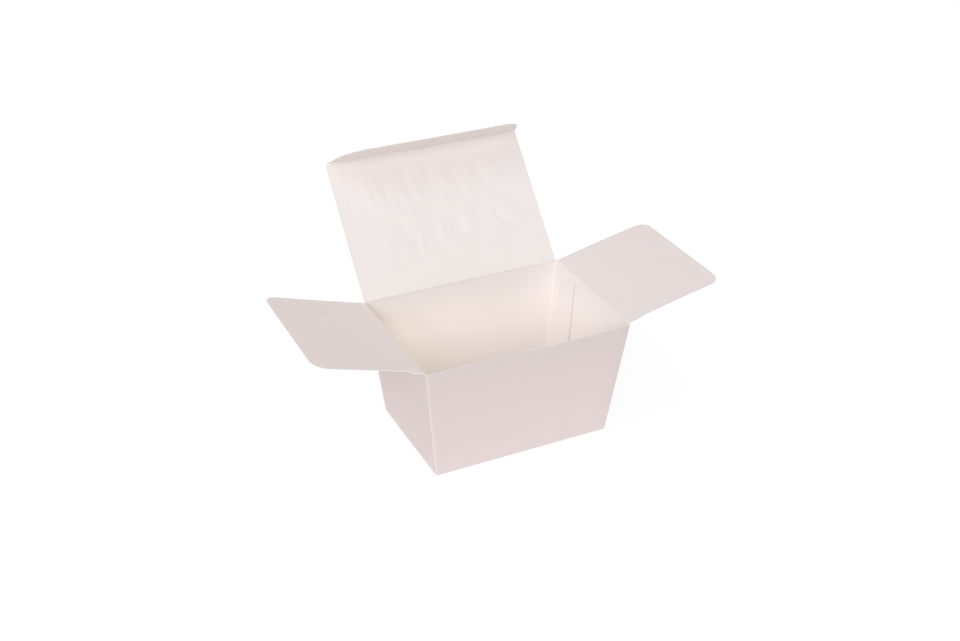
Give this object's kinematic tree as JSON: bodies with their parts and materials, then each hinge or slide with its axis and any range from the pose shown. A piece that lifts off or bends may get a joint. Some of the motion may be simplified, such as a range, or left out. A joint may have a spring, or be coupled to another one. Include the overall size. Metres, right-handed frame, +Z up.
{
  "type": "ballotin box",
  "caption": "Tapered chocolate box folded from one sheet of pale card, standing open, with two dust flaps and a hinged lid with a tuck flap.",
  "frame": {"origin": "middle of the base, on the surface the box stands on", "axes": "+X along the long side, to the right; +Y to the back, where the lid is hinged; +Z up"},
  "size_m": [0.2159, 0.1259, 0.1312],
  "materials": {
    "card": "satin pale pink pearl card, slightly warmer and more matt inside"
  },
  "bodies": {
    "box": {"box_body": "card"},
    "right_flap": {"right_flap": "card"},
    "left_flap": {"left_flap": "card"},
    "lid": {"lid_panel": "card"},
    "tuck": {"tuck_flap": "card"}
  },
  "joints": [
    {"name": "lid_hinge", "type": "hinge", "parent": "box", "child": "lid", "pos_m": [0, 0.0378, 0.064], "axis": [-1, 0, 0], "range_deg": [-132.3, 47.7]},
    {"name": "tuck_hinge", "type": "hinge", "parent": "lid", "child": "tuck", "pos_m": [0, 0.08777, 0.11891], "axis": [1, 0, 0], "range_deg": [-94, 6]},
    {"name": "right_flap_hinge", "type": "hinge", "parent": "box", "child": "right_flap", "pos_m": [0.055, 0, 0.0634], "axis": [0, 1, 0], "range_deg": [-167.5, 22.5]},
    {"name": "left_flap_hinge", "type": "hinge", "parent": "box", "child": "left_flap", "pos_m": [-0.055, 0, 0.0634], "axis": [0, -1, 0], "range_deg": [-163.1, 26.9]}
  ]
}
